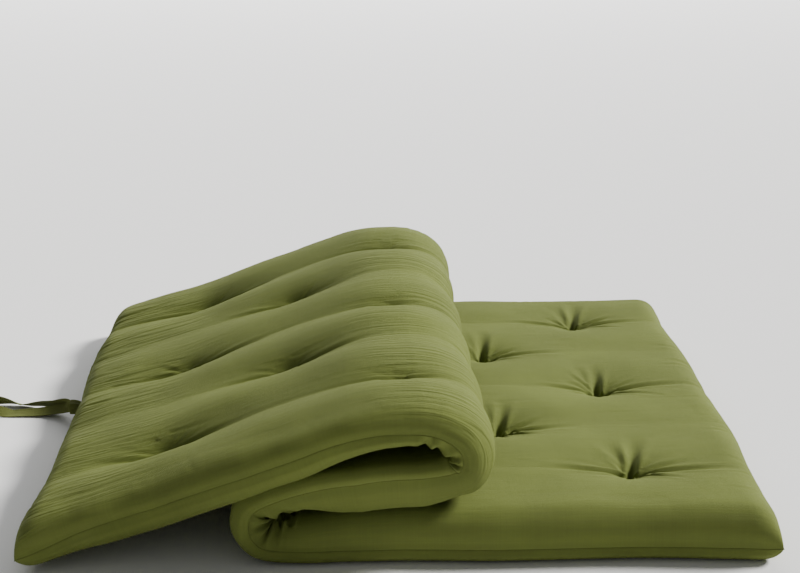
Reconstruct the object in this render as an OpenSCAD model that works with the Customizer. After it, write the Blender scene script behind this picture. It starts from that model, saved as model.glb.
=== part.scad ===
// Tufted floor futon mattress, folded twice into a loose Z.
// The fill and its two cover panels are one long pad. Here the pad is cut across into
// sections that turn on each other at the folds, so that it opens out flat on the floor.
// The pad is drawn flat, along s from its free right end, and each section is then turned
// about the fold lines before it. Millimetres, +Z up, origin under the middle of the folded
// mattress.

/* [Mattress] */
// Length of the pad when it lies flat
pad_length = 2030; // [1900:10:2100]
// Width of the pad, from side seam to side seam
pad_width = 990; // [900:10:1400]
// Thickness of the lower and upper sections
loft = 88; // [84:1:90]
// Thickness where the other layers press on the pad
pressed_loft = 80; // [78:1:82]
// Thickness beside the tight left fold
creased_loft = 62; // [60:1:63]
// Thickness at the two free ends
end_loft = 50; // [40:1:60]

/* [Layers] */
// Thickness of a cover panel
panel_t = 2; // [1.5:0.1:3]
// Thickness of a fibre layer
batting_t = 12; // [8:1:14]
// Width of the sewn edge that stands out past the panels
seam_w = 3; // [2:0.5:6]
// Thickness of the sewn edge
seam_t = 3; // [2:0.5:5]

/* [Ties] */
// Rows of ties from end to end
tie_rows = 9; // [9:2:9]
// Distance between neighbouring ties of one row
tie_across = 330; // [250:10:330]
// How far the last two rows of ties are moved towards the folds
tie_nearer = 28; // [0:2:30]
// Radius of the thread bundle
tie_r = 1.2; // [0.8:0.1:2]
// Length of the stitch on each face
stitch_length = 10; // [6:0.5:10]

/* [Left fold] */
// Turn at each of its four fold lines
left_turn = 41; // [40:0.5:41]
// Length of each slice
left_slice = 35; // [35:0.5:36]

/* [Right fold] */
// Length of the slices on the way round
right_slice = 45; // [44:0.5:46]
// Length of the slices under the crest
right_top_slice = 50; // [50:0.5:52]

/* [Sections between the folds] */
// Turn where the middle layer levels out
rise_turn = 14; // [12:0.5:14]
// Turn where the top layer starts down to the floor
crest_turn = 17; // [15:0.5:17]
// Length of the level piece on top
crest_length = 104; // [95:1:110]

/* [Strap] */
// Width of the tie strap
strap_width = 22; // [18:1:26]
// Thickness of the tie strap
strap_t = 2; // [1.5:0.1:3]
// Outside radius of each rolled-up strap end
strap_roll_r = 52; // [45:1:60]

/* [Hidden] */
$fn = 48;
slip = 0.2; // half the gap between two sections
hole_gap = 0.15; // between a tie and its needle hole
dimple_r = 6.5; // hollow in which a stitch sits
dimple_depth = 12;
stitch_w = 3;
stitch_t = 1.4;
stitch_sunk = 10; // below the face of the panel
tack_size = [5, 24, 14];
tack_gap = 0.8; // lets the strap swing past the sewn edge
tack_above = 2; // above the height where the strap swings

cover_colour = [0.45, 0.48, 0.24];
seam_colour = [0.37, 0.40, 0.18];
batting_colour = [0.94, 0.94, 0.90];
core_colour = [0.98, 0.93, 0.72];
thread_colour = [0.30, 0.33, 0.15];

tie_pitch = pad_length / (tie_rows + 1);
half_width = pad_width / 2 - seam_w;

// Fold lines: [distance s from the right end, height in the flat pad, turn]. A positive turn
// lifts what follows up and over to the right.
left_pivot = 21;
rise_pivot = 24;
right_pivot = 52;
right_turns = [44, 48, 42, 28, 20];
right_pivots = [52, 52, 52, 50, 44];
crest_pivot = 40;
strap_pivot = end_loft / 2;
left_start = 4 * tie_pitch - left_slice / 2;
rise_end = 5 * tie_pitch + 35;
right_start = 6 * tie_pitch - right_slice / 2;
right_steps = [0, 1, 2, 2, 2];
right_top_steps = [0, 0, 0, 1, 2];
crest_start = right_start + 2 * right_slice + 2 * right_top_slice;
lift = 2 * left_turn * 2 + rise_turn;
level = -(right_turns[0] + right_turns[1] + right_turns[2] + right_turns[3] + right_turns[4]);

folds = concat(
    [for (i = [0 : 3]) [left_start + i * left_slice, left_pivot, left_turn]],
    [[rise_end, rise_pivot, rise_turn]],
    [for (i = [0 : 4]) [
        right_start + right_steps[i] * right_slice + right_top_steps[i] * right_top_slice,
        right_pivots[i],
        -right_turns[i]
    ]],
    [[crest_start + crest_length, crest_pivot, -crest_turn]],
    [[pad_length, strap_pivot, -(lift + level - crest_turn)]]
);

// Section numbers: 0 is the lower one, and each later one follows the fold before it
LOWER = 0;
LEFT_A = 1;
LEFT_B = 2;
LEFT_C = 3;
RISE = 4;
MIDDLE = 5;
RIGHT_A = 6;
RIGHT_B = 7;
RIGHT_C = 8;
RIGHT_D = 9;
CREST = 10;
UPPER = 11;
STRAP = 12;

// Thickness along the flat pad: [s, thickness]
profile = [
    [0, end_loft],
    [40, loft],
    [600, loft],
    [left_start - 115, pressed_loft],
    [left_start - 5, creased_loft],
    [left_start + 145, creased_loft],
    [rise_end, pressed_loft],
    [1450, pressed_loft + 6],
    [pad_length - 40, pressed_loft + 6],
    [pad_length, end_loft]
];

function thickness(s) = lookup(s, profile);

// Height of a layer's face: share of the thickness there, plus a fixed distance
function face_z(face, s) = face[0] * thickness(s) + face[1];
BOTTOM = [0, 0];
BOTTOM_PANEL = [0, panel_t];
BOTTOM_BATTING = [0, panel_t + batting_t];
SEAM = [0, end_loft / 2];
TOP_BATTING = [1, -panel_t - batting_t];
TOP_PANEL = [1, -panel_t];
TOP = [1, 0];

// Where fold f cuts a section at height z. The side that the fold closes is cut back to the
// bisector, and the other side is cut square.
function closing_depth(f, z) = max(0, f[2] > 0 ? z - f[1] : f[1] - z);
function cut_s(f, z, side) = f[0] + side * (slip + closing_depth(f, z) * tan(abs(f[2]) / 2));

// One face of section k, from its right end to its left end. inset draws back the free ends.
function start_s(k, z, inset) = k == LOWER ? inset : cut_s(folds[k - 1], z, 1);
function end_s(k, z, inset) = k == UPPER ? pad_length - inset : cut_s(folds[k], z, -1);
function start_fold(k) = k == LOWER ? 0 : folds[k - 1][0];
function end_fold(k) = k == UPPER ? pad_length : folds[k][0];
function face_line(k, face, inset) = let(
    za = face_z(face, start_fold(k)),
    zb = face_z(face, end_fold(k)),
    a = start_s(k, za, inset),
    b = end_s(k, zb, inset)
) concat(
    [[a, k == LOWER ? face_z(face, a) : za]],
    [for (p = profile) if (p[0] > a + 1 && p[0] < b - 1) [p[0], face_z(face, p[0])]],
    [[b, k == UPPER ? face_z(face, b) : zb]]
);

// The bend in a section's end at the height of its fold line, if the layer reaches past it
function end_bend(f, low, high, side) =
    face_z(low, f[0]) < f[1] && f[1] < face_z(high, f[0]) ? [[f[0] + side * slip, f[1]]] : [];
function backwards(list) = [for (i = [len(list) - 1 : -1 : 0]) list[i]];

// Outline of the layer of section k between two faces, in the flat pad's s and z
function layer_outline(k, low, high, inset) = concat(
    face_line(k, low, inset),
    k == UPPER ? [] : end_bend(folds[k], low, high, -1),
    backwards(face_line(k, high, inset)),
    k == LOWER ? [] : end_bend(folds[k - 1], low, high, 1)
);

// Half the folded mattress's length, which sets the origin under its middle
function turned(p, f) = let(
    a = f[2],
    d = [p[0] - f[0], p[1] - f[1]]
) [f[0] + d[0] * cos(a) - d[1] * sin(a), f[1] + d[0] * sin(a) + d[1] * cos(a)];
function at_rest(p, k) = k == 0 ? p : at_rest(turned(p, folds[k - 1]), k - 1);
right_x = at_rest([pad_length + seam_w, strap_pivot + end_loft / 2], UPPER)[0] / 2;

// Puts a flat section where it lies in the folded mattress
module turn_about(f) {
    translate([right_x - f[0], 0, f[1]])
        rotate([0, f[2], 0])
            translate([f[0] - right_x, 0, -f[1]])
                children();
}

module place(k) {
    if (k == 0)
        children();
    else
        place(k - 1)
            turn_about(folds[k - 1])
                children();
}

// An outline in s and z, as a solid across the pad from y0 to y1
module across(outline, y0, y1) {
    translate([right_x, y1, 0])
        rotate([90, 0, 0])
            linear_extrude(height = y1 - y0)
                mirror([1, 0])
                    polygon(outline);
}

module layer(k, low, high, inset, side_inset) {
    across(
        layer_outline(k, low, high, inset),
        -half_width + side_inset,
        half_width - side_inset
    );
}

// Ties of one row stand in threes and twos by turns
function row_count(row) = row % 2 == 1 ? 3 : 2;
function row_y(row) = [for (i = [0 : row_count(row) - 1])
    (i - (row_count(row) - 1) / 2) * tie_across];
function tie_s(row) = row * tie_pitch - tie_nearer * max(0, min(1, (row - tie_rows + 3) / 2));
function tie_places(rows) = [for (row = rows) for (y = row_y(row)) [tie_s(row), y]];

lower_rows = [1, 2, 3];
left_rows = [4];
rise_rows = [5];
right_rows = [6];
crest_rows = [7];
upper_rows = [8, 9];

// Every needle hole of some rows, through the whole pad
module needle_holes(rows) {
    for (p = tie_places(rows))
        translate([right_x - p[0], p[1], -1])
            cylinder(r = tie_r + hole_gap, h = loft + 2);
}

// The hollow at each end of every tie
module dimples(rows) {
    for (p = tie_places(rows))
        for (z = [-1, thickness(p[0]) - dimple_depth])
            translate([right_x - p[0], p[1], z])
                cylinder(r = dimple_r, h = dimple_depth + 1);
}

// A cover panel: the face, the two sides down to the seam, and the free end if there is one
module panel(k, rows, top) {
    outer = top ? TOP : BOTTOM;
    inner = top ? TOP_PANEL : BOTTOM_PANEL;
    low = top ? inner : outer;
    high = top ? outer : inner;
    side_low = top ? SEAM : inner;
    side_high = top ? inner : SEAM;
    color(cover_colour)
        place(k) {
            difference() {
                layer(k, low, high, 0, 0);
                dimples(rows);
            }
            for (y = [-half_width, half_width - panel_t])
                across(layer_outline(k, side_low, side_high, 0), y, y + panel_t);
            if (k == LOWER)
                end_wall(0, top);
            if (k == UPPER)
                end_wall(pad_length - panel_t, top);
        }
}

// The panel's short wall across a free end
module end_wall(s, top) {
    middle = end_loft / 2;
    z0 = top ? middle : panel_t / 2;
    z1 = top ? end_loft - panel_t / 2 : middle;
    translate([right_x - s - panel_t, -half_width, z0])
        cube([panel_t, 2 * half_width, z1 - z0]);
}

module padding(k, low, high, rows, colour) {
    color(colour)
        place(k)
            difference() {
                layer(k, low, high, panel_t, panel_t);
                needle_holes(rows);
                dimples(rows);
            }
}

// The thread of a tie, with a flat stitch on each face of the pad
module tie(s, y) {
    t = thickness(s);
    low = stitch_sunk;
    high = t - stitch_sunk - stitch_t;
    translate([right_x - s, y, 0]) {
        translate([0, 0, low])
            cylinder(r = tie_r, h = t - 2 * low);
        for (z = [low, high])
            translate([-stitch_w / 2, -stitch_length / 2, z])
                cube([stitch_w, stitch_length, stitch_t]);
    }
}

module ties(k, rows) {
    color(thread_colour)
        place(k)
            for (p = tie_places(rows))
                tie(p[0], p[1]);
}

// The sewn edge where the panels meet, along both sides and across a free end
SEAM_LOW = [0, end_loft / 2 - seam_t / 2];
SEAM_HIGH = [0, end_loft / 2 + seam_t / 2];
module edge_seam(k) {
    color(seam_colour)
        place(k) {
            for (y = [-half_width - seam_w, half_width])
                across(layer_outline(k, SEAM_LOW, SEAM_HIGH, 0), y, y + seam_w);
            if (k == LOWER)
                end_seam(0);
            if (k == UPPER)
                end_seam(pad_length + seam_w);
        }
}

module end_seam(s) {
    translate([right_x - s, -half_width - seam_w, end_loft / 2 - seam_t / 2])
        cube([seam_w, 2 * (half_width + seam_w), seam_t]);
}

// The tie strap: two tails on edge from one row of stitches at the end seam, each with its
// far end rolled up. Places are x away from the end seam and y from the middle of the pad.
tack_end = tack_gap + tack_size[0];
strap_y = 50; // the strap is sewn on a little past the middle
strap_back = [[tack_end, 53], [14, 53], [50, 88], [110, 108], [178, 124], [230, 136], [272, 145]];
strap_front = [[tack_end, 47], [14, 47], [50, 70], [110, 78], [166, 78], [214, 70], [272, 60]];
strap_roll_back = [261, 197.2];
strap_roll_front = [262.8, 7.4];
strap_base = 0.3; // just clear of the floor
strap_root = at_rest([pad_length, strap_pivot], UPPER);
strap_root_x = right_x - strap_root[0] - seam_w;

function beside(line, i, d) = let(
    a = line[max(i - 1, 0)],
    b = line[min(i + 1, len(line) - 1)],
    v = (b - a) / norm(b - a)
) line[i] + d * [-v[1], v[0]];

module strap_tail(line) {
    color(cover_colour)
        translate([strap_root_x, 0, strap_base])
            mirror([1, 0, 0])
                linear_extrude(height = strap_width)
                    polygon(concat(
                        [for (i = [0 : len(line) - 1]) beside(line, i, strap_t / 2)],
                        [for (i = [len(line) - 1 : -1 : 0]) beside(line, i, -strap_t / 2)]
                    ));
}

module strap_roll(centre) {
    color(cover_colour)
        translate([strap_root_x - centre[0], centre[1], strap_base])
            cylinder(r = strap_roll_r, h = strap_width);
}

// Block of close stitches that holds the doubled strap to the end seam
module strap_bar_tack() {
    color(thread_colour)
        translate([strap_root_x - tack_end, strap_y, strap_root[1] + tack_above])
            translate([0, -tack_size[1] / 2, -tack_size[2]])
                cube(tack_size);
}

module top_panel(k, rows) {
    panel(k, rows, true);
}

module bottom_panel(k, rows) {
    panel(k, rows, false);
}

module core(k, rows) {
    padding(k, BOTTOM_BATTING, TOP_BATTING, rows, core_colour);
}

module top_batting(k, rows) {
    padding(k, TOP_BATTING, TOP_PANEL, rows, batting_colour);
}

module bottom_batting(k, rows) {
    padding(k, BOTTOM_PANEL, BOTTOM_BATTING, rows, batting_colour);
}

module fill(k, rows) {
    padding(k, BOTTOM_PANEL, TOP_PANEL, rows, batting_colour);
}

top_panel(LOWER, lower_rows);  // top_panel_lower
bottom_panel(LOWER, lower_rows);  // bottom_panel_lower
core(LOWER, lower_rows);  // core_lower
top_batting(LOWER, lower_rows);  // top_batting_lower
bottom_batting(LOWER, lower_rows);  // bottom_batting_lower
edge_seam(LOWER);  // edge_seam_lower
ties(LOWER, lower_rows);  // ties_lower
top_panel(LEFT_A, left_rows);  // top_panel_left_fold_a
bottom_panel(LEFT_A, left_rows);  // bottom_panel_left_fold_a
fill(LEFT_A, left_rows);  // fill_left_fold_a
ties(LEFT_A, left_rows);  // ties_left_fold
top_panel(LEFT_B, []);  // top_panel_left_fold_b
bottom_panel(LEFT_B, []);  // bottom_panel_left_fold_b
fill(LEFT_B, []);  // fill_left_fold_b
top_panel(LEFT_C, []);  // top_panel_left_fold_c
bottom_panel(LEFT_C, []);  // bottom_panel_left_fold_c
fill(LEFT_C, []);  // fill_left_fold_c
top_panel(RISE, rise_rows);  // top_panel_rise
bottom_panel(RISE, rise_rows);  // bottom_panel_rise
fill(RISE, rise_rows);  // fill_rise
edge_seam(RISE);  // edge_seam_rise
ties(RISE, rise_rows);  // ties_rise
top_panel(MIDDLE, []);  // top_panel_middle
bottom_panel(MIDDLE, []);  // bottom_panel_middle
core(MIDDLE, []);  // core_middle
top_batting(MIDDLE, []);  // top_batting_middle
bottom_batting(MIDDLE, []);  // bottom_batting_middle
edge_seam(MIDDLE);  // edge_seam_middle
top_panel(RIGHT_A, right_rows);  // top_panel_right_fold_a
bottom_panel(RIGHT_A, right_rows);  // bottom_panel_right_fold_a
fill(RIGHT_A, right_rows);  // fill_right_fold_a
ties(RIGHT_A, right_rows);  // ties_right_fold
top_panel(RIGHT_B, []);  // top_panel_right_fold_b
bottom_panel(RIGHT_B, []);  // bottom_panel_right_fold_b
fill(RIGHT_B, []);  // fill_right_fold_b
top_panel(RIGHT_C, []);  // top_panel_right_fold_c
bottom_panel(RIGHT_C, []);  // bottom_panel_right_fold_c
fill(RIGHT_C, []);  // fill_right_fold_c
top_panel(RIGHT_D, []);  // top_panel_right_fold_d
bottom_panel(RIGHT_D, []);  // bottom_panel_right_fold_d
fill(RIGHT_D, []);  // fill_right_fold_d
top_panel(CREST, crest_rows);  // top_panel_crest
bottom_panel(CREST, crest_rows);  // bottom_panel_crest
fill(CREST, crest_rows);  // fill_crest
edge_seam(CREST);  // edge_seam_crest
ties(CREST, crest_rows);  // ties_crest
top_panel(UPPER, upper_rows);  // top_panel_upper
bottom_panel(UPPER, upper_rows);  // bottom_panel_upper
core(UPPER, upper_rows);  // core_upper
top_batting(UPPER, upper_rows);  // top_batting_upper
bottom_batting(UPPER, upper_rows);  // bottom_batting_upper
edge_seam(UPPER);  // edge_seam_upper
ties(UPPER, upper_rows);  // ties_upper
strap_bar_tack();
strap_tail(strap_back);  // strap_tail_back
strap_tail(strap_front);  // strap_tail_front
strap_roll(strap_roll_back);
strap_roll(strap_roll_front);
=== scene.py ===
import math
import bpy
import numpy as np
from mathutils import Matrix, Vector


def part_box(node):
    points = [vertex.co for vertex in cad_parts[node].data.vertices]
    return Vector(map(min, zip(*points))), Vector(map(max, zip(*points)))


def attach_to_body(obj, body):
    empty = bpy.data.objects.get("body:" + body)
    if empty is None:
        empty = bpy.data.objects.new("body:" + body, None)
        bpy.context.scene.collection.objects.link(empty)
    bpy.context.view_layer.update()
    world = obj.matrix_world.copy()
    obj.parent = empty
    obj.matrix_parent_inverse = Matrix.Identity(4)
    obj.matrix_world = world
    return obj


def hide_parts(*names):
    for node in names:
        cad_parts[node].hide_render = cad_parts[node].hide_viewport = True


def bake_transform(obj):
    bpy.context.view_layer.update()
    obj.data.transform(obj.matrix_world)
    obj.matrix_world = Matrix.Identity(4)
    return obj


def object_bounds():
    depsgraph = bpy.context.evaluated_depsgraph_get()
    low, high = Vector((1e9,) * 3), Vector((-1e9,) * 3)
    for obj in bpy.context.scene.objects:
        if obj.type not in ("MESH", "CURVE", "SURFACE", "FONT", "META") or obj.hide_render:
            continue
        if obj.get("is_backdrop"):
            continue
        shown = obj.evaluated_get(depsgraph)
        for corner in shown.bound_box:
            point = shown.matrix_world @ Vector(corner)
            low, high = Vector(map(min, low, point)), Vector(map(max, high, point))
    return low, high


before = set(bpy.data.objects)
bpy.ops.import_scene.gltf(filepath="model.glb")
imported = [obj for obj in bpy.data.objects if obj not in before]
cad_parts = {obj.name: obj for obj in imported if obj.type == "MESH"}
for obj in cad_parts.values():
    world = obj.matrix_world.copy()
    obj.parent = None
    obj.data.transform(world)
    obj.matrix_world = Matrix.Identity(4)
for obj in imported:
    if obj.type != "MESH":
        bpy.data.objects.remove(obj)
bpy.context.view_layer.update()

# The flat pad, in metres: s runs from the free right end, y across, z up from the floor.
LENGTH, WIDTH = 2.030, 0.990
PITCH = LENGTH / 10
RIGHT = float(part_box("top_panel_lower")[1][0])
FOLDS = [  # place s, height, turn in degrees
    (0.7945, 0.021, 41), (0.8295, 0.021, 41), (0.8645, 0.021, 41), (0.8995, 0.021, 41),
    (1.0500, 0.024, 14),
    (1.1955, 0.052, -44), (1.2405, 0.052, -48), (1.2855, 0.052, -42),
    (1.3355, 0.050, -28), (1.3855, 0.044, -20),
    (1.4895, 0.040, -17),
]
BODIES = ["lower", "left_fold_a", "left_fold_b", "left_fold_c", "rise", "middle",
          "right_fold_a", "right_fold_b", "right_fold_c", "right_fold_d", "crest", "upper"]
SEAM_Z = 0.025


# ------------------------------------------------------------------ materials
def material(name, colour, rough=0.85, sheen=0.4, sheen_tint=(0.8, 0.82, 0.5), weave=1.0,
             vary=0.10, scale=1.0, bump=0.00035, streak=0.06, wrinkle=0.0):
    """Woven cloth: yarn bump both ways, slub streaks, slow colour drift, soft sheen."""
    m = bpy.data.materials.new(name)
    m.use_nodes = True
    nt = m.node_tree
    nt.nodes.clear()
    N, Lk = nt.nodes, nt.links

    def node(kind, **inputs):
        n = N.new(kind)
        for k, v in inputs.items():
            n.inputs[k.replace("_", " ")].default_value = v
        return n

    out = N.new("ShaderNodeOutputMaterial")
    bsdf = N.new("ShaderNodeBsdfPrincipled")
    bsdf.inputs["Roughness"].default_value = rough
    bsdf.inputs["Specular IOR Level"].default_value = 0.18
    bsdf.inputs["Sheen Weight"].default_value = sheen
    bsdf.inputs["Sheen Roughness"].default_value = 0.45
    bsdf.inputs["Sheen Tint"].default_value = (*sheen_tint, 1)
    Lk.new(bsdf.outputs[0], out.inputs[0])
    uv = N.new("ShaderNodeUVMap")
    uv.uv_map = "flat"
    # slow drift of the colour
    big = node("ShaderNodeTexNoise", Scale=5.0 * scale, Detail=3.0, Roughness=0.55)
    Lk.new(uv.outputs[0], big.inputs["Vector"])
    # slub streaks along the yarn
    stretch = N.new("ShaderNodeMapping")
    stretch.inputs["Scale"].default_value = (7 * scale, 420 * scale, 1)
    Lk.new(uv.outputs[0], stretch.inputs[0])
    slub = node("ShaderNodeTexNoise", Scale=1.0, Detail=4.0, Roughness=0.6)
    Lk.new(stretch.outputs[0], slub.inputs["Vector"])
    cross = N.new("ShaderNodeMapping")
    cross.inputs["Scale"].default_value = (380 * scale, 9 * scale, 1)
    Lk.new(uv.outputs[0], cross.inputs[0])
    slub2 = node("ShaderNodeTexNoise", Scale=1.0, Detail=3.0, Roughness=0.6)
    Lk.new(cross.outputs[0], slub2.inputs["Vector"])

    def remap(src, low, high):
        r = N.new("ShaderNodeMapRange")
        r.inputs["From Min"].default_value = 0.3
        r.inputs["From Max"].default_value = 0.7
        r.inputs["To Min"].default_value = low
        r.inputs["To Max"].default_value = high
        Lk.new(src, r.inputs["Value"])
        return r.outputs[0]

    def math_node(op, a, b):
        n = N.new("ShaderNodeMath")
        n.operation = op
        for i, v in enumerate((a, b)):
            if isinstance(v, (int, float)):
                n.inputs[i].default_value = v
            else:
                Lk.new(v, n.inputs[i])
        return n.outputs[0]

    tone = math_node("MULTIPLY", remap(big.outputs[0], 1 - vary, 1 + vary),
                     remap(slub.outputs[0], 1 - streak, 1 + streak))
    tone = math_node("MULTIPLY", tone, remap(slub2.outputs[0], 1 - 0.5 * streak, 1 + 0.5 * streak))
    rgb = N.new("ShaderNodeRGB")
    rgb.outputs[0].default_value = (*colour, 1)
    vec = N.new("ShaderNodeVectorMath")
    vec.operation = "SCALE"
    Lk.new(rgb.outputs[0], vec.inputs[0])
    Lk.new(tone, vec.inputs["Scale"])
    Lk.new(vec.outputs[0], bsdf.inputs["Base Color"])
    Lk.new(remap(slub.outputs[0], rough - 0.06, min(rough + 0.06, 1)), bsdf.inputs["Roughness"])
    # plain weave
    sep = N.new("ShaderNodeSeparateXYZ")
    Lk.new(uv.outputs[0], sep.inputs[0])
    yarn = 2 * math.pi / (0.0009 / scale)
    wa = math_node("SINE", math_node("MULTIPLY", sep.outputs[0], yarn), 0)
    wb = math_node("SINE", math_node("MULTIPLY", sep.outputs[1], yarn), 0)
    woven = math_node("MULTIPLY", wa, wb)
    height = math_node("ADD", math_node("MULTIPLY", woven, 0.35 * weave),
                       math_node("ADD", math_node("MULTIPLY", slub.outputs[0], 1.1),
                                 math_node("MULTIPLY", slub2.outputs[0], 0.5)))
    fine = node("ShaderNodeTexNoise", Scale=160.0 * scale, Detail=2.0, Roughness=0.6)
    Lk.new(uv.outputs[0], fine.inputs["Vector"])
    height = math_node("ADD", height, math_node("MULTIPLY", fine.outputs[0], 0.8))
    b = N.new("ShaderNodeBump")
    if wrinkle:
        # fine creases along the pad, most at the tied end and round the right fold
        def between(a0, a1, b1, b0):
            up, down = N.new("ShaderNodeMapRange"), N.new("ShaderNodeMapRange")
            for n, (f0, f1) in ((up, (a0, a1)), (down, (b0, b1))):
                n.interpolation_type = "SMOOTHSTEP"
                n.inputs["From Min"].default_value, n.inputs["From Max"].default_value = f0, f1
                Lk.new(sep.outputs[0], n.inputs["Value"])
            return math_node("MULTIPLY", up.outputs[0], down.outputs[0])

        long = N.new("ShaderNodeMapping")
        long.inputs["Scale"].default_value = (8, 105, 1)
        Lk.new(uv.outputs[0], long.inputs[0])
        crease = node("ShaderNodeTexNoise", Scale=1.0, Detail=2.5, Roughness=0.55, Distortion=0.5)
        Lk.new(long.outputs[0], crease.inputs["Vector"])
        patch = node("ShaderNodeTexNoise", Scale=7.0, Detail=1.0)
        Lk.new(uv.outputs[0], patch.inputs["Vector"])
        soft = node("ShaderNodeTexNoise", Scale=26.0, Detail=2.0, Roughness=0.5)
        Lk.new(uv.outputs[0], soft.inputs["Vector"])
        tied_end, right_fold = between(1.74, 1.93, 2.05, 2.10), between(1.10, 1.22, 1.40, 1.50)
        where = math_node("ADD", math_node("MULTIPLY", tied_end, 1.5), right_fold)
        where = math_node("MULTIPLY", math_node("ADD", where, 0.16), remap(patch.outputs[0], 0.25, 1.3))
        rise = math_node("MULTIPLY", math_node("MULTIPLY", crease.outputs[0], where), wrinkle)
        rise = math_node("ADD", rise, math_node("MULTIPLY", soft.outputs[0], 0.20 * wrinkle))
        folds = N.new("ShaderNodeBump")
        folds.inputs["Strength"].default_value = 0.9
        folds.inputs["Distance"].default_value = 0.006
        Lk.new(rise, folds.inputs["Height"])
        Lk.new(folds.outputs[0], b.inputs["Normal"])
    b.inputs["Strength"].default_value = 0.8
    b.inputs["Distance"].default_value = bump
    Lk.new(height, b.inputs["Height"])
    Lk.new(b.outputs[0], bsdf.inputs["Normal"])
    return m


COVER = material("cover_cloth", (0.130, 0.158, 0.034), wrinkle=1.0, sheen=0.06, sheen_tint=(0.75, 0.78, 0.25))
EDGE = material("edge_cloth", (0.116, 0.141, 0.031), scale=1.6, sheen=0.1, sheen_tint=(0.75, 0.78, 0.25))
STRAP = material("strap_cloth", (0.115, 0.132, 0.032), scale=2.0, sheen=0.1, sheen_tint=(0.75, 0.78, 0.25))
THREAD = material("thread", (0.060, 0.066, 0.018), rough=0.7, sheen=0.15, scale=6.0, bump=0.0002)
FIBRE = material("fibre", (0.80, 0.80, 0.76), rough=0.95, sheen=0.2,
                 sheen_tint=(1, 1, 1), weave=0.0, vary=0.04, bump=0.0015)
FOAM = material("foam", (0.82, 0.74, 0.50), rough=0.95, sheen=0.05,
                sheen_tint=(1, 1, 1), weave=0.0, vary=0.03, bump=0.0008)

# ------------------------------------------------------------------ camera, light, floor
cam_data = bpy.data.cameras.new("camera")
cam_data.sensor_width = 36
cam_data.lens = 60.1
cam_data.clip_start, cam_data.clip_end = 0.05, 100
cam = bpy.data.objects.new("camera", cam_data)
cam.location = (-0.041, -2.286, 1.104)
cam.rotation_euler = (math.radians(90 - 19.7), 0, math.radians(-1.5))
bpy.context.scene.collection.objects.link(cam)
bpy.context.scene.camera = cam


def area_light(name, place, aim, size, power, colour=(1, 1, 1)):
    d = bpy.data.lights.new(name, "AREA")
    d.shape = "RECTANGLE"
    d.size, d.size_y = size
    d.energy = power
    d.color = colour
    o = bpy.data.objects.new(name, d)
    o.location = place
    o.rotation_euler = (Vector(aim) - Vector(place)).to_track_quat("-Z", "Y").to_euler()
    bpy.context.scene.collection.objects.link(o)


sun = bpy.data.lights.new("key", "SUN")
sun.energy = 6.6
sun.angle = math.radians(16)
sun.color = (1.0, 0.985, 0.95)
key = bpy.data.objects.new("key", sun)
key.rotation_euler = Vector((-0.80, -0.25, -0.58)).to_track_quat("-Z", "Y").to_euler()
bpy.context.scene.collection.objects.link(key)
area_light("back", (0, 9, 4.5), (0, 5, 0), (12, 5), 900)

world = bpy.data.worlds.new("studio")
world.use_nodes = True
world.node_tree.nodes["Background"].inputs[0].default_value = (1, 1, 1, 1)
world.node_tree.nodes["Background"].inputs[1].default_value = 0.18
bpy.context.scene.world = world


def new_mesh(name, verts, faces, mat, uvs=None, normals=None):
    mesh = bpy.data.meshes.new(name)
    verts = np.asarray(verts, float)
    mesh.vertices.add(len(verts))
    mesh.vertices.foreach_set("co", verts.astype(np.float32).ravel())
    sizes = np.array([len(f) for f in faces])
    loops = np.concatenate([np.asarray(f) for f in faces]).astype(np.int32)
    mesh.loops.add(len(loops))
    mesh.loops.foreach_set("vertex_index", loops)
    mesh.polygons.add(len(faces))
    mesh.polygons.foreach_set("loop_start", (np.cumsum(sizes) - sizes).astype(np.int32))
    mesh.polygons.foreach_set("loop_total", sizes.astype(np.int32))
    mesh.update(calc_edges=True)
    mesh.validate()
    mesh.polygons.foreach_set("use_smooth", np.ones(len(mesh.polygons), bool))
    if uvs is None:
        uvs = verts[:, :2]
    layer = mesh.uv_layers.new(name="flat")
    index = np.zeros(len(mesh.loops), np.int32)
    mesh.loops.foreach_get("vertex_index", index)
    layer.data.foreach_set("uv", np.asarray(uvs, float)[index].astype(np.float32).ravel())
    if normals is not None:
        mesh.normals_split_custom_set_from_vertices(np.asarray(normals, float).tolist())
    mesh.materials.append(mat)
    o = bpy.data.objects.new(name, mesh)
    bpy.context.scene.collection.objects.link(o)
    return o


floor_mat = bpy.data.materials.new("floor")
floor_mat.use_nodes = True
floor_bsdf = floor_mat.node_tree.nodes["Principled BSDF"]
floor_bsdf.inputs["Base Color"].default_value = (0.93, 0.93, 0.93, 1)
floor_bsdf.inputs["Roughness"].default_value = 0.9
floor_bsdf.inputs["Specular IOR Level"].default_value = 0.1
floor = new_mesh("floor", [(-15, -6, -0.0005), (15, -6, -0.0005), (15, 24, -0.0005), (-15, 24, -0.0005)],
                 [(0, 1, 2, 3)], floor_mat)
floor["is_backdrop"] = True


def tube(path, radius, sides=6, squash=1.0):
    """Rings of a bent round thread, with closed ends."""
    path = np.asarray(path, float)
    t = np.gradient(path, axis=0)
    t /= np.linalg.norm(t, axis=1)[:, None]
    ref = np.array([0.31, 0.17, 0.93])
    u = np.cross(t, ref)
    u /= np.linalg.norm(u, axis=1)[:, None]
    v = np.cross(t, u)
    a = np.arange(sides) * 2 * math.pi / sides
    r = np.full(len(path), radius)
    r[0] *= 0.5
    r[-1] *= 0.5
    pts = path[:, None] + r[:, None, None] * (np.cos(a)[None, :, None] * u[:, None]
                                              + squash * np.sin(a)[None, :, None] * v[:, None])
    q = [(i * sides + j, i * sides + (j + 1) % sides, (i + 1) * sides + (j + 1) % sides, (i + 1) * sides + j)
         for i in range(len(path) - 1) for j in range(sides)]
    q += [tuple(range(sides))[::-1], tuple((len(path) - 1) * sides + j for j in range(sides))]
    return pts.reshape(-1, 3), q


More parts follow.
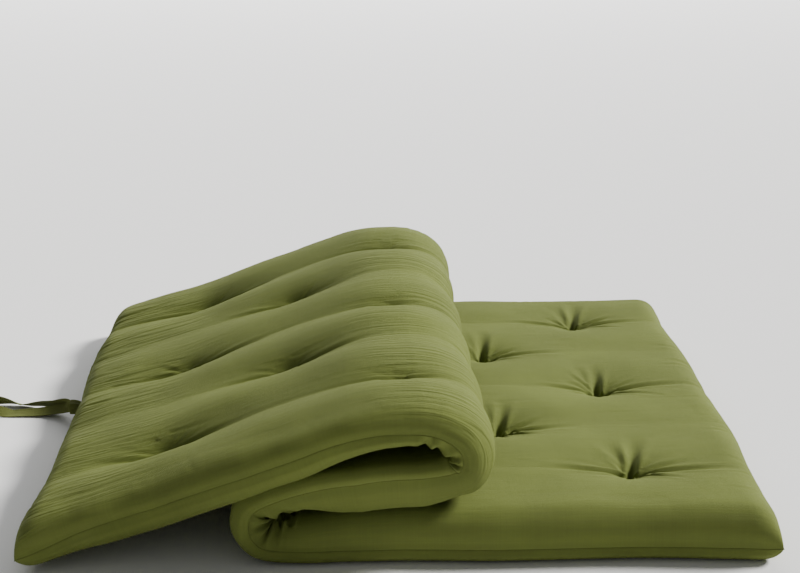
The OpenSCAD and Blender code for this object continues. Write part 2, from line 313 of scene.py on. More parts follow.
# ------------------------------------------------------------------ the tie strap's two tails
TACK_LOW, TACK_HIGH = (np.array(v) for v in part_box("strap_bar_tack"))
ROOT_X = float(TACK_HIGH[0]) + 0.0008
TAPE, TAPE_T = 0.022, 0.0018
BACK = [(0.0015, 0.0515), (0.014, 0.054), (0.050, 0.088), (0.110, 0.108), (0.178, 0.124),
        (0.230, 0.136), (0.272, 0.145)]
FRONT = [(0.0015, 0.0485), (0.014, 0.047), (0.050, 0.070), (0.110, 0.078), (0.166, 0.078),
         (0.214, 0.070), (0.272, 0.060)]
BACK_ROLL, FRONT_ROLL = np.array([0.261, 0.1972]), np.array([0.2628, 0.0074])
ROLL_PITCH, ROLL_TURNS = 0.0082, 3.35


def smooth_line(points, step):
    """Points close together on a smooth curve through the ones given."""
    p = np.array(points, float)
    p = np.vstack([2 * p[0] - p[1], p, 2 * p[-1] - p[-2]])
    out = []
    for i in range(1, len(p) - 2):
        t = np.linspace(0, 1, 12, endpoint=False)[:, None]
        a, b, c, d = p[i - 1], p[i], p[i + 1], p[i + 2]
        out.append(0.5 * (2 * b + (c - a) * t + (2 * a - 5 * b + 4 * c - d) * t ** 2
                          + (3 * b - a - 3 * c + d) * t ** 3))
    out = np.vstack(out + [p[-2][None]])
    run = np.concatenate([[0], np.cumsum(np.linalg.norm(np.diff(out, axis=0), axis=1))])
    even = np.linspace(0, run[-1], int(run[-1] / step) + 1)
    return np.stack([np.interp(even, run, out[:, k]) for k in range(out.shape[1])], -1)


def tail(name, points, centre, way, tip, nodes):
    """A flat tape that ends in a loose roll: points are away from the seam and across the pad, way is the
    roll's sense, tip is how far the tape leans near the seam and further out, in radians."""
    line = smooth_line(points, 0.004)
    away = line[-1] - centre
    r0, a0 = math.hypot(*away), math.atan2(away[1], away[0])
    theta = np.linspace(0, 2 * math.pi * ROLL_TURNS, 240)[1:]
    r = r0 - ROLL_PITCH * theta / (2 * math.pi)
    roll = centre + np.stack([r * np.cos(a0 + way * theta), r * np.sin(a0 + way * theta)], -1)
    plan = np.vstack([line, roll])
    run = np.concatenate([[0], np.cumsum(np.linalg.norm(np.diff(plan, axis=0), axis=1))])
    tilt = np.interp(run, [0, 0.012, 0.045, 0.15, 0.21, 0.28], [0.5, 0.4, tip[0], tip[1], 0.1, 0])
    half = TAPE / 2 * np.interp(run, [0, 0.03], [0.80, 1])
    z = half * np.cos(tilt) + 0.0016
    hang = np.interp(run, [0, 0.02, 0.075, 0.13], [0.0200, 0.0190, 0.0050, 0])
    z = z + hang * np.interp(run, [0, 0.075], [1, 0.8])
    path = np.stack([ROOT_X - plan[:, 0], plan[:, 1], z], -1)
    t = np.gradient(path, axis=0)
    t /= np.linalg.norm(t, axis=1)[:, None]
    side = np.stack([-t[:, 1], t[:, 0], 0 * z], -1)
    side /= np.linalg.norm(side, axis=1)[:, None]
    up = np.cross(t, side)
    up *= np.sign(up[:, 2:3])
    wide = np.cos(tilt)[:, None] * up + np.sin(tilt)[:, None] * side
    thin = np.cross(t, wide)
    shape = [(-1, 0), (-0.985, 0.7), (-0.93, 1), (-0.90, 0.80), (-0.5, 0.88), (0, 0.80), (0.5, 0.88),
             (0.90, 0.80), (0.93, 1), (0.985, 0.7), (1, 0)]
    shape += [(a, -b) for a, b in shape[-2:0:-1]]
    soft = 0.0008 * np.sin(run * 95 + len(name))
    lines = []
    for a, b in shape:
        curl = 0.0010 * (1 - a * a)
        lines.append(path + wide * (a * half)[:, None] + thin * (b * TAPE_T / 2 + curl + soft)[:, None])
    m = len(path)
    pts = np.stack(lines, 1).reshape(-1, 3)
    k = len(shape)
    q = [(i * k + j, (i + 1) * k + j, (i + 1) * k + (j + 1) % k, i * k + (j + 1) % k)
         for i in range(m - 1) for j in range(k)]
    q += [tuple(range(k)), tuple((m - 1) * k + j for j in range(k))[::-1]]
    uv = np.stack([np.repeat(run, k), np.tile([0.01 * a for a, b in shape], m)], -1)
    o = new_mesh(name, pts, q, STRAP, uv)
    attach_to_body(o, "strap")
    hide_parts(*nodes)
    return o


tail("strap_back", BACK, BACK_ROLL, 1, (0.10, 1.15), ["strap_tail_back", "strap_roll_back"])
tail("strap_front", FRONT, FRONT_ROLL, -1, (-0.95, -1.40), ["strap_tail_front", "strap_roll_front"])


def gathered_root():
    """The doubled tape pinched together where it is sewn to the seam, with its bar of stitches."""
    c = (TACK_LOW + TACK_HIGH) / 2
    u, v = np.meshgrid(np.linspace(0, 2 * math.pi, 40, endpoint=False), np.linspace(0, 1, 18), indexing="ij")
    pleat = 1 + 0.10 * np.cos(5 * u + 0.6) + 0.05 * np.cos(9 * u)
    grow = 0.62 + 0.38 * np.sin(np.clip(v * 1.25, 0, 1) * math.pi / 2)
    taper = np.where(v > 0.97, 0.55, 1) * np.where(v < 0.03, 0.75, 1)
    y = c[1] + 0.0120 * np.sign(np.cos(u)) * np.abs(np.cos(u)) ** 0.7 * pleat * grow * taper
    z = c[2] + 0.010 + 0.0130 * np.sign(np.sin(u)) * np.abs(np.sin(u)) ** 0.8 * pleat * grow * taper
    x = ROOT_X + 0.0022 - 0.026 * v + 0 * u
    pts = np.stack([x, y, z], -1).reshape(-1, 3)
    n, m = u.shape
    q = [(i * m + j, ((i + 1) % n) * m + j, ((i + 1) % n) * m + j + 1, i * m + j + 1)
         for i in range(n) for j in range(m - 1)]
    q += [tuple(i * m for i in range(n))[::-1], tuple(i * m + m - 1 for i in range(n))]
    o = new_mesh("strap_root", pts, q, STRAP, np.stack([u * 0.01, v * 0.02], -1).reshape(-1, 2))
    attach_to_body(o, "strap")
    base, pts, q = 0, [], []
    for k in range(9):
        t = np.linspace(0, math.pi, 12)
        y0 = c[1] - 0.0085 + 0.0021 * k
        path = np.stack([ROOT_X - 0.004 + 0.0012 * np.cos(t * 2), y0 + 0.0021 * t / math.pi,
                         c[2] + 0.004 + 0.0078 * np.cos(t) * (1 if k % 2 else -1)], -1)
        f, g = tube(path, 0.0005)
        pts.append(f)
        q += [tuple(base + i for i in face) for face in g]
        base += len(f)
    stitches = new_mesh("strap_bar_tack_stitches", np.concatenate(pts), q, THREAD)
    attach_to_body(stitches, "strap")
    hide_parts("strap_bar_tack")


gathered_root()


# ------------------------------------------------------------------ the folded pad's curve
def turned(p, f):
    a = math.radians(f[2])
    d0, d1 = p[0] - f[0], p[1] - f[1]
    return (f[0] + d0 * math.cos(a) - d1 * math.sin(a), f[1] + d0 * math.sin(a) + d1 * math.cos(a))


def at_rest(p, k):
    while k > 0:
        p = turned(p, FOLDS[k - 1])
        k -= 1
    return p


ANGLE = [math.radians(sum(f[2] for f in FOLDS[:k])) for k in range(12)]
MID = [(FOLDS[i][0] + FOLDS[i + 1][0]) / 2 for i in range(10)]
CUTS = [FOLDS[0][0] - 0.060] + MID + [FOLDS[10][0] + 0.090]


def z_ref(s):
    return np.interp(s, [f[0] for f in FOLDS], [f[1] for f in FOLDS])


def ease(t):
    t = np.clip(t, 0, 1)
    return t * t * (3 - 2 * t)


def window(s, a, b, c, d):
    return ease((s - a) / (b - a)) * (1 - ease((s - c) / (d - c)))


def sag(s):
    """How far the upper section hangs below the straight line from the hump to the floor."""
    return 0.013 * window(s, 1.42, 1.62, 1.78, 2.02)


def lean(s, y):
    """The right fold stands a little further over at the front."""
    return 0.021 * np.clip((0.2 - y) / 0.7, 0, 1) ** 1.5 * window(s, 0.98, 1.20, 1.40, 1.80)


class Rigid:
    def __init__(self, k, a, b):
        self.k, self.a, self.b, self.name = k, a, b, BODIES[k]
        self.bodies = (BODIES[k],)
        self.origin = at_rest((0.0, 0.0), k)

    def place(self, s, z):
        c, n = math.cos(ANGLE[self.k]), math.sin(ANGLE[self.k])
        z = z - sag(s)
        return RIGHT - (self.origin[0] + s * c - z * n), self.origin[1] + s * n + z * c, 0 * s


class Bend:
    def __init__(self, j, a, b):
        self.k, self.a, self.b = j + 1, a, b
        self.name = BODIES[j + 1] if j < 10 else "crest_to_upper"
        self.bodies = (BODIES[j], BODIES[j + 1])
        f = FOLDS[j]
        p0 = np.array(at_rest((a, float(z_ref(a))), j))
        p1 = np.array(at_rest((f[0], f[1]), j))
        p2 = np.array(at_rest((b, float(z_ref(b))), j + 1))
        t = np.linspace(0, 1, 401)[:, None]
        self.line = (1 - t) ** 2 * p0 + 2 * t * (1 - t) * p1 + t ** 2 * p2
        tan = (1 - t) * (p1 - p0) + t * (p2 - p1)
        turn = np.unwrap(np.arctan2(tan[:, 1], tan[:, 0]))
        self.share = (turn - turn[0]) / (turn[-1] - turn[0])
        step = np.linalg.norm(np.diff(self.line, axis=0), axis=1)
        self.arc = np.concatenate([[0], np.cumsum(step)]) / step.sum()
        self.start, self.turn = ANGLE[j], math.radians(f[2])

    def place(self, s, z):
        u = np.clip((s - self.a) / (self.b - self.a), 0, 1)
        w = np.interp(u, self.arc, self.share)
        x = np.interp(u, self.arc, self.line[:, 0])
        h = np.interp(u, self.arc, self.line[:, 1])
        phi = self.start + self.turn * w
        d = z - z_ref(s) - sag(s)
        return RIGHT - (x - d * np.sin(phi)), h + d * np.cos(phi), w


SEGMENTS = [Rigid(0, 0.0, CUTS[0])]
SEGMENTS += [Bend(j, CUTS[j], CUTS[j + 1]) for j in range(11)]
SEGMENTS += [Rigid(11, CUTS[11], LENGTH)]


def attach(o, seg):
    """The piece moves with its body, or, if it lies between two bodies, keeps its placed shape with its
    transform baked in.
    """
    if len(seg.bodies) == 1:
        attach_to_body(o, seg.bodies[0])
    else:
        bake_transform(o)


# ------------------------------------------------------------------ the flat pad's shape
def noise(u, v, cell_u, cell_v, seed):
    """Smooth value noise, about -1 to 1."""
    r = np.random.default_rng(seed)
    grid = r.uniform(-1, 1, (512, 256))
    x, y = u / cell_u + 100, v / cell_v + 100
    i, j = np.floor(x).astype(int), np.floor(y).astype(int)
    fx, fy = x - i, y - j
    fx, fy = fx * fx * fx * (fx * (6 * fx - 15) + 10), fy * fy * fy * (fy * (6 * fy - 15) + 10)
    g = lambda a, b: grid[a % 512, b % 256]
    return ((g(i, j) * (1 - fx) + g(i + 1, j) * fx) * (1 - fy)
            + (g(i, j + 1) * (1 - fx) + g(i + 1, j + 1) * fx) * fy)


THICK_S = [0, 0.60, 0.68, 0.79, 0.94, 1.05, 1.20, 1.26, 1.38, 1.50, 1.62, LENGTH]
THICK_T = [0.088, 0.088, 0.080, 0.062, 0.062, 0.080, 0.082, 0.076, 0.069, 0.070, 0.077, 0.078]


def thickness(s):
    return sum(np.interp(s + d, THICK_S, THICK_T) for d in (-0.03, -0.015, 0, 0.015, 0.03)) / 5


ROWS = {row: row * PITCH - 0.028 * max(0, min(1, (row - 6) / 2)) for row in range(1, 10)}
TIES = []
for row in range(1, 10):
    ys = (-0.33, 0.0, 0.33) if row % 2 else (-0.165, 0.165)
    TIES += [(row, ROWS[row], y) for y in ys]


def spaced(a, b, step, ends):
    """Values from a to b, close together near the ends named."""
    close = np.array([0, 0.4, 1.4, 3, 5.2, 8, 11.5, 15.5, 20, 25, 30, 35, 40, 45, 50]) / 1000
    vals = [a, b]
    lo, hi = a, b
    if "a" in ends:
        vals += list(a + close)
        lo = a + close[-1]
    if "b" in ends:
        vals += list(b - close)
        hi = b - close[-1]
    vals += list(np.linspace(lo, hi, max(2, int(round((hi - lo) / step)) + 1)))
    return vals


STEP = 0.004
s_values = []
for n, seg in enumerate(SEGMENTS):
    s_values += spaced(seg.a, seg.b, STEP if not isinstance(seg, Bend) else STEP * 0.7,
                       ("a" if n == 0 else "") + ("b" if n == len(SEGMENTS) - 1 else ""))
S = np.unique(np.round(s_values, 6))
Yv = np.unique(np.round(spaced(-WIDTH / 2, WIDTH / 2, STEP, "ab"), 6))
SS, YY = np.meshgrid(S, Yv, indexing="ij")


def edge_share(d, depth, p):
    """0 at the seam, 1 from depth inwards, round like a stuffed edge."""
    t = 1 - np.clip(d / depth, 0, 1)
    return (1 - t ** p) ** (1 / p)


def groove(z, s, y, s0, y0, angle, length, width, depth, spread=0.05, lift=0.35):
    """A crease that starts at a point and dies away: a valley with a soft lip on each side."""
    c, n = math.cos(angle), math.sin(angle)
    m = length + 0.03
    i0, i1 = np.searchsorted(S, [s0 - m, s0 + m])
    j0, j1 = np.searchsorted(Yv, [y0 - m, y0 + m])
    a, b = s[i0:i1, j0:j1] - s0, y[i0:i1, j0:j1] - y0
    along, off = a * c + b * n, -a * n + b * c
    w = width + spread * np.clip(along, 0, None)
    t = along / length
    fade = np.where(t > 0, np.clip(1 - t, 0, 1) ** 1.3, 0) * ease(along / 0.008 + 0.6)
    q = (off / w) ** 2
    z[i0:i1, j0:j1] -= depth * fade * (np.exp(-q) - lift * np.exp(-((np.abs(off) / w - 1.7) ** 2) / 0.6))


def tuft_field(top):
    """How far the ties and creases pull a face in, in metres, on the whole grid."""
    z = np.zeros_like(SS)
    r = np.random.default_rng(21 if top else 22)
    for row, s0, y0 in TIES:
        upper = row > 6
        depth = 0.030 if top else 0.014
        if 3 < row < 7:
            depth *= 0.6
        if row == 7:
            depth *= 0.42
        if row > 7:
            depth *= 0.85
        ds, dy = SS - s0, YY - y0
        rad = np.sqrt((ds / (1.6 if upper else 1.15)) ** 2 + dy ** 2)
        z -= depth * (0.60 if upper else 0.66) * np.exp(-(rad / 0.015) ** 1.05)
        rad = np.sqrt((ds / (2.4 if upper else 1.25)) ** 2 + (dy / 1.0) ** 2)
        z -= depth * 0.50 * np.exp(-(rad / 0.050) ** 1.4)
        # long creases along the pad, sharp ones away across it, and fine ones between
        for side in (0, math.pi):
            groove(z, SS, YY, s0, y0, side + r.uniform(-0.07, 0.07), r.uniform(0.12, 0.19), 0.0030,
                   depth * 0.26, 0.030, 0.5)
            groove(z, SS, YY, s0, y0, side + r.uniform(-0.32, 0.32), r.uniform(0.06, 0.11), 0.0024,
                   depth * 0.17, 0.035, 0.5)
        if not upper:
            for turn, size in ((0.14, 0.46), (-0.30, 0.14)):
                groove(z, SS, YY, s0, y0, math.pi / 2 + turn + r.uniform(-0.1, 0.1),
                       r.uniform(0.09, 0.13), 0.0045, depth * size, 0.09, 0.4)
            groove(z, SS, YY, s0, y0, -math.pi / 2 + r.uniform(-0.3, 0.3), r.uniform(0.04, 0.06), 0.0035,
                   depth * 0.16, 0.10)
            for turn in (-0.30, 0.16, 0.42):
                groove(z, SS, YY, s0, y0, math.pi + turn + r.uniform(-0.06, 0.06),
                       r.uniform(0.08, 0.13), 0.0026, depth * 0.20, 0.035, 0.5)
        count = 9
        for k in range(count):
            angle = 2 * math.pi * (k + r.uniform(-0.35, 0.35)) / count + 0.3
            flat = abs(math.cos(angle))
            if upper and flat < 0.6:
                continue
            groove(z, SS, YY, s0, y0, angle, r.uniform(0.035, 0.070) + 0.06 * flat ** 3,
                   r.uniform(0.0018, 0.0030), depth * r.uniform(0.05, 0.11), 0.045, 0.5)
    return z


def columns(top):
    """Long valleys through the columns of ties, with rounded ridges between."""
    s, y = SS, YY
    z = np.zeros_like(s)
    r = np.random.default_rng(5)
    drift = 0.006 * noise(s, y, 0.22, 0.5, 3)
    strong = 0.50 + 0.75 * ease((s - 1.30) / 0.12)
    for c in (-0.33, -0.165, 0, 0.165, 0.33):
        odd = abs(c) in (0.33, 0.0)
        rows = np.array([ROWS[i] for i in range(1, 10) if (i % 2 == 1) == odd])
        near = np.min(np.abs(s[..., None] - rows), axis=-1)
        close = np.exp(-(near / 0.10) ** 2)
        off = np.abs(y - c - drift)
        d = (0.0045 + 0.0035 * close) * strong
        if not odd:
            d = d * (0.45 + 0.55 * close)
        z -= d * np.exp(-(off / 0.019) ** 1.1)
    z += 0.0022 * strong * np.cos(2 * math.pi * y / 0.165 + math.pi) * (1 if top else 0.5)
    return z


def gathers(top):
    """Fine folds where the seam's thread draws the free ends and the sides in."""
    z = np.zeros_like(SS)
    r = np.random.default_rng(31 if top else 32)
    for k in range(58):
        y0 = r.uniform(-0.47, 0.47)
        groove(z, SS, YY, LENGTH - r.uniform(0.004, 0.02), y0, math.pi + r.uniform(-0.10, 0.10),
               r.uniform(0.06, 0.21), r.uniform(0.0022, 0.0042), r.uniform(0.0008, 0.0024), 0.012)
    for k in range(30):
        y0 = r.uniform(-0.47, 0.47)
        groove(z, SS, YY, r.uniform(0.004, 0.02), y0, r.uniform(-0.15, 0.15),
               r.uniform(0.03, 0.09), r.uniform(0.003, 0.005), r.uniform(0.0005, 0.0015), 0.02)
    for k in range(64):
        side = 1 if k % 2 else -1
        s0 = r.uniform(0.05, LENGTH - 0.05)
        groove(z, SS, YY, s0, side * (WIDTH / 2 - 0.012), -side * math.pi / 2 + r.uniform(-0.4, 0.4),
               r.uniform(0.04, 0.08), r.uniform(0.004, 0.007), r.uniform(0.0002, 0.0005), 0.04)
    for centre, inside in ((0.85, True), (1.28, False)):
        for k in range(26):
            side = 1 if k % 2 else -1
            deep = r.uniform(0.0040, 0.0075) if inside == top else r.uniform(0.0001, 0.0004)
            groove(z, SS, YY, centre + r.uniform(-0.095, 0.095), side * (WIDTH / 2 - r.uniform(0.006, 0.03)),
                   -side * math.pi / 2 + r.uniform(-0.55, 0.55), r.uniform(0.06, 0.14),
                   r.uniform(0.0035, 0.0065), deep, 0.03, 0.6)
    for row, s0, y0 in TIES:
        if row in (7, 9, 8):
            for k in range(7):
                side = math.pi if k % 2 else 0
                groove(z, SS, YY, s0 + (0.01 if side == 0 else -0.01), y0 + r.uniform(-0.045, 0.045),
                       side + r.uniform(-0.12, 0.12), r.uniform(0.05, 0.11), r.uniform(0.002, 0.0032),
                       r.uniform(0.0008, 0.0018), 0.01)
    return z


d_end = np.minimum(SS, LENGTH - SS)
d_side = WIDTH / 2 - np.abs(YY)
T = thickness(SS)
inner = ease(d_end / 0.05) * ease(d_side / 0.05)
fold_left = window(SS, 0.74, 0.80, 0.91, 0.99)
fold_right = window(SS, 1.15, 1.22, 1.36, 1.44)

flat_top = 0.94 - 0.13 * ease((SS - 1.00) / 0.30)
crown = flat_top + (1 - flat_top) * edge_share(d_side, 0.20, 2.0)
e_top = edge_share(d_end, 0.058, 2.4) * edge_share(d_side, 0.044, 2.6) * crown
e_bot = edge_share(d_end, 0.040, 2.4) * edge_share(d_side, 0.015, 2.6)
SEAM = SEAM_Z + 0.011 * window(SS, 1.38, 1.60, 1.88, 2.01)
z_top = SEAM + (T - SEAM) * e_top
z_bot = SEAM * (1 - e_bot)
relax = 1 - 0.55 * fold_left
z_top += inner * relax * (tuft_field(True) + columns(True) + 0.0022 * noise(SS, YY, 0.10, 0.08, 1))
z_top += ease(d_end / 0.02) * ease(d_side / 0.03) * gathers(True)
under = np.where(SS < 0.80, 0.6, 1.0)
z_bot -= inner * under * (tuft_field(False) + 0.5 * columns(False) + 0.0015 * noise(SS, YY, 0.09, 0.08, 2))
z_bot -= 0.6 * ease(d_end / 0.02) * ease(d_side / 0.03) * gathers(False)
z_bot = np.where(SS < 0.78, np.maximum(z_bot, 0.0006), z_bot)
z_bot += 0.0008
z_bot -= 0.007 * window(SS, 1.42, 1.66, 1.84, 2.00) * ease(d_side / 0.02)
z_bot -= 0.006 * window(SS, 0.80, 0.86, 0.91, 0.99) * ease(d_side / 0.02)
near_edge = ease(d_side / 0.02) * (1 - ease((d_side - 0.04) / 0.08))
z_top += 0.010 * window(SS, 0.96, 1.02, 1.14, 1.20) * near_edge
z_top += 0.004 * window(SS, 1.17, 1.22, 1.30, 1.38) * ease(d_side / 0.03) * ease((0.3 - YY) / 0.5)

# sides pull in between the pointed corners, most where a tie is near
edge_in = 0.011 * (1 - np.exp(-d_end / 0.11)) + 0.0022 * np.cos(2 * math.pi * (SS / (2 * PITCH) - 0.5))
edge_in = edge_in * ease(d_end / 0.06) + 0.0012 * noise(SS, 0 * YY, 0.045, 1, 9) * ease(d_end / 0.03)
end_in = np.where(SS < LENGTH / 2, -0.004 - 0.010 * np.cos(math.pi * np.clip((YY + 0.10) / 0.9, -0.5, 0.5)),
                  0.007 * (1 - np.exp(-d_side / 0.10)) - 0.010 * np.sin(math.pi * YY / 0.495))
end_in = end_in + 0.0028 * np.cos(2 * math.pi * YY / 0.33) * ease(d_side / 0.06)
end_in = end_in + 0.0010 * noise(0 * SS, YY, 1, 0.04, 10) * ease(d_side / 0.03)
near_side = 1 - ease(d_side / 0.20)
near_end = 1 - ease(d_end / 0.20)
y_all = YY - np.sign(YY) * edge_in * near_side
s_all = SS + np.where(SS < LENGTH / 2, 1, -1) * end_in * near_end
Y_TOP, Y_BOT = y_all.copy(), y_all.copy()

# cloth that bunches at the sides of the folds
skirt = 1 - ease((d_side - 0.01) / 0.06)
lift_top = np.clip((z_top - SEAM) / (T - SEAM), 0, 1)
lift_bot = np.clip((SEAM - z_bot) / SEAM, 0, 1)
side_of = np.sign(YY)
swell = 1 - ease(d_side / 0.07)
Y_TOP += side_of * swell * 0.002 * np.sin(math.pi * np.clip(lift_top, 0, 1) ** 0.8) * ease(d_end / 0.05)
Y_BOT += side_of * swell * 0.005 * np.sin(math.pi * np.clip(lift_bot, 0, 1) ** 0.6) * ease(d_end / 0.05)
bunch_l = np.sin(2 * math.pi * SS / 0.034 + 2.2 * noise(SS, YY, 0.05, 0.06, 14)) * fold_left
bunch_r = np.sin(2 * math.pi * SS / 0.040 + 2.0 * noise(SS, YY, 0.05, 0.06, 15)) * fold_right
Y_TOP -= np.sign(YY) * skirt * lift_top * (0.009 * (1 + bunch_l) * fold_left)
Y_BOT -= np.sign(YY) * skirt * lift_bot * (0.009 * (1 + bunch_r) * fold_right)
z_top += 0.0045 * bunch_l * inner * (0.4 + 0.6 * noise(SS, YY, 0.06, 0.12, 17))
z_bot += 0.0045 * bunch_r * inner * (0.4 + 0.6 * noise(SS, YY, 0.06, 0.12, 18))
rim = (d_side <= 0) | (d_end <= 0)
apart = 0.004 * ease(np.minimum(d_side, d_end) / 0.03)
z_top = np.where(rim, SEAM, np.maximum(z_top, SEAM + apart))
z_bot = np.where(rim, SEAM, np.minimum(z_bot, SEAM - apart))


def place_all(z, y):
    """The flat grid laid along the folded curve: the points."""
    P = np.zeros((*z.shape, 3))
    for seg in SEGMENTS:
        m = (S >= seg.a - 1e-7) & (S <= seg.b + 1e-7)
        x, h, w = seg.place(s_all[m], z[m])
        P[m] = np.stack([x + lean(s_all[m], y[m]), y[m], h], -1)
    return P


def grid_normals(P, up):
    du = np.gradient(P, axis=0)
    dv = np.gradient(P, axis=1)
    n = np.cross(dv, du)
    n /= np.maximum(np.linalg.norm(n, axis=-1, keepdims=True), 1e-12)
    return n * (1 if up else -1)


def strip(name, P, NRM, seg, up, mat):
    """The part of a face between two cuts, as its own piece."""
    rows = np.where((S >= seg.a - 1e-7) & (S <= seg.b + 1e-7))[0]
    pts, nrm = P[rows], NRM[rows]
    n, m = pts.shape[:2]
    i, j = np.meshgrid(np.arange(n - 1), np.arange(m - 1), indexing="ij")
    q = np.stack([i * m + j, i * m + j + 1, (i + 1) * m + j + 1, (i + 1) * m + j], -1).reshape(-1, 4)
    if not up:
        q = q[:, ::-1]
    uv = np.stack([SS[rows], YY[rows] + (0 if up else 3)], -1).reshape(-1, 2)
    o = new_mesh(name, pts.reshape(-1, 3), q, mat, uv, nrm.reshape(-1, 3))
    w = seg.place(s_all[rows], pts[..., 2] * 0)[2]
    attach(o, seg)
    return o


P_TOP, P_BOT = place_all(z_top, Y_TOP), place_all(z_bot, Y_BOT)
N_TOP, N_BOT = grid_normals(P_TOP, True), grid_normals(P_BOT, False)
if float(N_TOP[len(S) // 10, len(Yv) // 2, 2]) < 0:
    N_TOP, N_BOT = -N_TOP, -N_BOT
for seg in SEGMENTS:
    for up, P, NRM, side in ((True, P_TOP, N_TOP, "top"), (False, P_BOT, N_BOT, "bottom")):
        o = strip(f"cover_{side}_{seg.name}", P, NRM, seg, up, COVER)
        if seg.name != "crest_to_upper":
            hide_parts(f"{side}_panel_{seg.name}")

# ------------------------------------------------------------------ what is inside the cover
def spread(z, size, pick):
    """The lowest or highest value near each point of the grid."""
    for axis in (0, 1):
        z = pick([np.roll(z, k, axis) for k in range(-size, size + 1)], axis=0)
    return z


reach = 5
roof = spread(z_top, reach, np.min) - 0.003
ground = spread(z_bot, reach, np.max) + 0.002
LAYERS = [("bottom_batting", 0.0, 0.16, FIBRE, "fibre_fill"), ("core", 0.17, 0.83, FOAM, "foam_core"),
          ("top_batting", 0.84, 1.0, FIBRE, "fibre_fill")]
cols = np.where(np.abs(Yv) <= WIDTH / 2 - 0.024)[0]
cols = cols[np.unique(np.round(np.linspace(0, len(cols) - 1, 48)).astype(int))]


def filling(seg, name, low, high, mat):
    rows = np.where((S >= seg.a - 1e-7) & (S <= seg.b + 1e-7) & (S >= 0.024) & (S <= LENGTH - 0.024))[0]
    count = max(5, int((seg.b - seg.a) / 0.02))
    rows = rows[np.unique(np.round(np.linspace(0, len(rows) - 1, count)).astype(int))]
    grid = np.ix_(rows, cols)
    room = np.maximum(roof[grid] - ground[grid], 0.003)
    floor_at = (roof[grid] + ground[grid] - room) / 2
    s, y = s_all[grid], y_all[grid] * 0.985
    faces, pts, weights = [], [], []
    n, m = s.shape
    for share in (low, high):
        x, h, w = seg.place(s, floor_at + share * room)
        pts.append(np.stack([x + lean(s, y), y, h], -1).reshape(-1, 3))
        weights.append((w + 0 * s).reshape(-1))
    q = []
    for i in range(n - 1):
        for j in range(m - 1):
            a = i * m + j
            q.append((a, a + 1, a + m + 1, a + m))
            q.append(tuple(n * m + v for v in (a, a + m, a + m + 1, a + 1)))
    ring = [(0, j) for j in range(m)] + [(i, m - 1) for i in range(1, n)]
    ring += [(n - 1, j) for j in range(m - 2, -1, -1)] + [(i, 0) for i in range(n - 2, 0, -1)]
    ring = [i * m + j for i, j in ring]
    for a, b in zip(ring, ring[1:] + ring[:1]):
        q.append((a, a + n * m, b + n * m, b))
    pts = np.concatenate(pts)
    o = new_mesh(name, pts, q, mat, np.concatenate([np.stack([s, y], -1).reshape(-1, 2)] * 2))
    attach(o, seg)
    return o


for seg in SEGMENTS:
    for kind, low_share, high_share, mat, slot_name in LAYERS:
        piece = f"{kind}_{seg.name}".replace("core_", "fill_core_").replace("batting_", "fill_batting_")
        o = filling(seg, piece, low_share, high_share, mat)
        if f"{kind}_{seg.name}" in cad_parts:
            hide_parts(f"{kind}_{seg.name}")
        elif kind == "core" and f"fill_{seg.name}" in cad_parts:
            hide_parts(f"fill_{seg.name}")


# ------------------------------------------------------------------ the sewn edge
FLANGE = [(-0.0030, -0.0010), (0.0, -0.0008), (0.0006, -0.0005), (0.0009, 0.0),
          (0.0006, 0.0005), (0.0, 0.0008), (-0.0030, 0.0010)]


def ribbon(lines, closed=False):
    """Faces over lines of equal length, each line one edge of the profile."""
    n, m = len(lines), len(lines[0])
    pts = np.concatenate(lines)
    q = [(i * m + j, i * m + j + 1, (i + 1) * m + j + 1, (i + 1) * m + j)
         for i in range(n - 1) for j in range(m - 1)]
    if closed:
        q += [((n - 1) * m + j, (n - 1) * m + j + 1, j + 1, j) for j in range(m - 1)]
        q += [tuple(i * m for i in range(n)), tuple(i * m + m - 1 for i in range(n - 1, -1, -1))]
    return pts, q


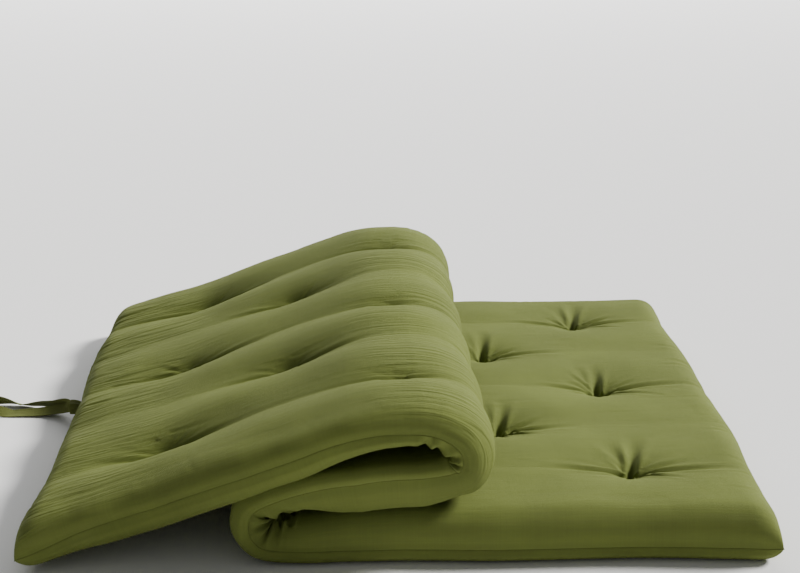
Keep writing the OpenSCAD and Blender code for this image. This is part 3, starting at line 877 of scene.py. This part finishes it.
def edge_piece(seg):
    rows = np.where((S >= seg.a - 1e-7) & (S <= seg.b + 1e-7))[0]
    pts, q, w, uv = [], [], [], []
    base = 0

    def add(lines, weights, run):
        nonlocal base
        v, f = ribbon(lines, closed=True)
        pts.append(v)
        q.extend(tuple(base + i for i in face) for face in f)
        w.append(np.concatenate([weights] * len(lines)))
        uv.append(np.concatenate([np.stack([run, 0 * run + k * 0.002], -1) for k in range(len(lines))]))
        base += len(v)

    for j, side in ((0, -1), (len(Yv) - 1, 1)):
        lines = []
        for out, up in FLANGE:
            x, h, ww = seg.place(s_all[rows, j], SEAM[rows, j] + up)
            x = x + lean(s_all[rows, j], y_all[rows, j])
            lines.append(np.stack([x, y_all[rows, j] + side * out, h], -1))
        add(lines if side > 0 else lines[::-1], ww + 0 * s_all[rows, j], S[rows])
    for i, side in ((0, -1), (len(S) - 1, 1)):
        end = seg.a if side < 0 else seg.b
        if i in rows and (seg.a == 0 or seg.b == LENGTH) and abs(S[i] - end) < 1e-6:
            lines = []
            for out, up in FLANGE:
                x, h, ww = seg.place(s_all[i] + side * out, SEAM[i] + up)
                lines.append(np.stack([x, y_all[i], h], -1))
            add(lines[::-1] if side > 0 else lines, 0 * Yv, Yv)
    o = new_mesh(f"edge_{seg.name}", np.concatenate(pts), q, EDGE, np.concatenate(uv))
    attach(o, seg)
    if f"edge_seam_{seg.name}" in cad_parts:
        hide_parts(f"edge_seam_{seg.name}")


for seg in SEGMENTS:
    edge_piece(seg)


# ------------------------------------------------------------------ the ties
def segment_at(s):
    return next(g for g in SEGMENTS if g.a - 1e-9 <= s <= g.b + 1e-9)


def face_at(z, s, y):
    return float(z[np.argmin(np.abs(S - s)), np.argmin(np.abs(Yv - y))])


TIE_NODES = [("ties_lower", (1, 2, 3)), ("ties_left_fold", (4,)), ("ties_rise", (5,)),
             ("ties_right_fold", (6,)), ("ties_crest", (7,)), ("ties_upper", (8, 9))]
for name, rows in TIE_NODES:
    pts, q, w = [], [], []
    base = 0
    seg = segment_at(ROWS[rows[0]])
    r = np.random.default_rng(len(name))
    for row, s0, y0 in TIES:
        if row not in rows:
            continue
        top, low = face_at(z_top, s0, y0), face_at(z_bot, s0, y0)
        paths = [([(s0, y0, low), (s0 + 0.0006, y0, (top + low) / 2), (s0, y0, top)], 0.0009)]
        for z0, up in ((top, 1), (low, -1)):
            for k in range(4):
                t = np.linspace(-1, 1, 9)
                shift = (k - 1.5) * 0.0011 + r.uniform(-0.0003, 0.0003)
                bow = np.stack([s0 + shift + 0.0003 * np.sin(3 * t + k),
                                y0 + t * (0.0048 + r.uniform(-0.0006, 0.0006)),
                                z0 + up * (0.0016 - 0.0022 * t * t)], -1)
                paths.append((bow, 0.00065))
        for path, radius in paths:
            v, f = tube(path, radius)
            x, h, ww = seg.place(v[:, 0], v[:, 2])
            pts.append(np.stack([x + lean(v[:, 0], v[:, 1]), v[:, 1], h], -1))
            w.append(ww + 0 * x)
            q += [tuple(base + i for i in face) for face in f]
            base += len(v)
    o = new_mesh(name.replace("ties", "tie_threads"), np.concatenate(pts), q, THREAD)
    attach(o, seg)
    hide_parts(name)

# ------------------------------------------------------------------ finish
low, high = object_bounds()
